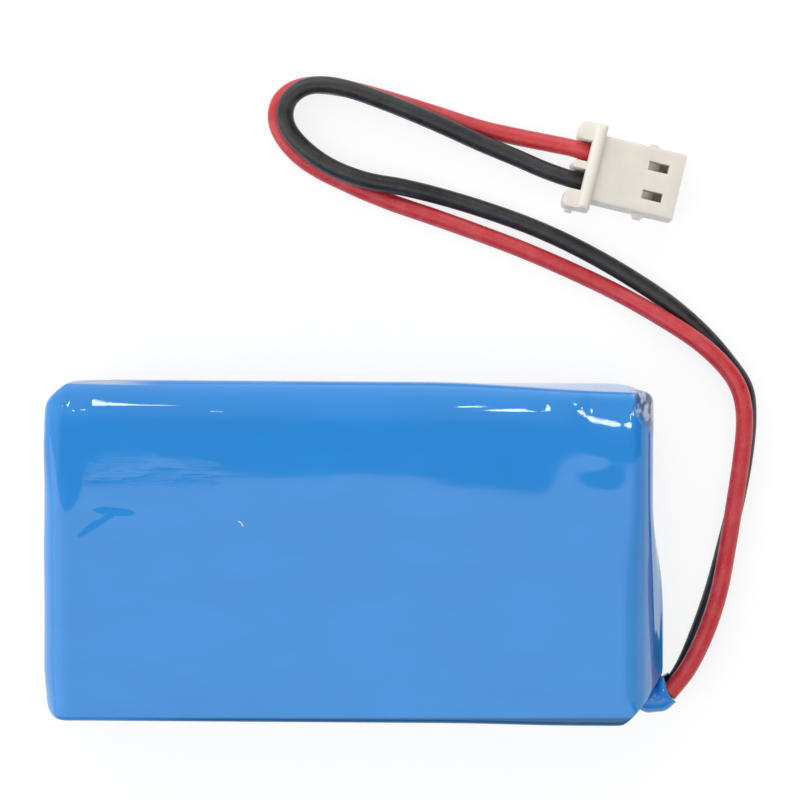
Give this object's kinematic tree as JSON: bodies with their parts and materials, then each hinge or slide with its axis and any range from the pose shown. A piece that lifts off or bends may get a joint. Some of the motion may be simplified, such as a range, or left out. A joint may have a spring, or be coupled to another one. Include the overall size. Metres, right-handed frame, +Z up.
{
  "type": "lithium polymer battery pack",
  "caption": "Flat rectangular rechargeable pouch-cell pack in a glossy blue shrink-film sleeve, with a red and a black lead that end in a two-way crimp plug.",
  "frame": {"origin": "centre of the sleeve's flat bottom face, on the surface that the pack lies on", "axes": "+X along the pack's length towards the end where the leads come out, +Y across it on the side where the leads lie, +Z up from the bottom face to the top face"},
  "size_m": [0.0602, 0.0547, 0.012],
  "materials": {
    "blue_film": "glossy shrink film",
    "pouch_foil": "satin laminate foil",
    "aluminium_tab": "satin",
    "nickel": "satin nickel",
    "seal_plastic": "satin",
    "white_tape": "matte",
    "amber_tape": "glossy",
    "board_green": "solder mask",
    "chip_black": "matte",
    "chip_tan": "matte",
    "solder": "bright solder",
    "copper_strands": "tinned copper",
    "white_paper": "matte paper",
    "red_pvc": "satin",
    "black_pvc": "satin",
    "terminal_metal": "tin plate",
    "ivory_plastic": "satin nylon"
  },
  "bodies": {
    "root": {"shrink_sleeve": "blue_film", "lower_cell": "pouch_foil", "upper_cell": "pouch_foil", "lower_positive_tab": "aluminium_tab", "lower_negative_tab": "nickel", "upper_positive_tab": "aluminium_tab", "upper_negative_tab": "nickel", "tab_seals": "seal_plastic", "cell_bond_tape": "white_tape", "amber_tapes": "amber_tape", "series_link": "nickel", "protection_board": "board_green", "switch_chips": "chip_black", "protection_chip": "chip_black", "chip_resistors": "chip_black", "chip_capacitors": "chip_tan", "tab_solder": "solder", "lead_solder": "solder", "board_strands": "copper_strands", "rear_paper": "white_paper", "front_paper": "white_paper", "red_inner_lead": "red_pvc", "black_inner_lead": "black_pvc", "red_lead": "red_pvc", "black_lead": "black_pvc", "red_strands": "copper_strands", "black_strands": "copper_strands", "red_terminal": "terminal_metal", "black_terminal": "terminal_metal", "connector_housing": "ivory_plastic"}
  },
  "joints": []
}
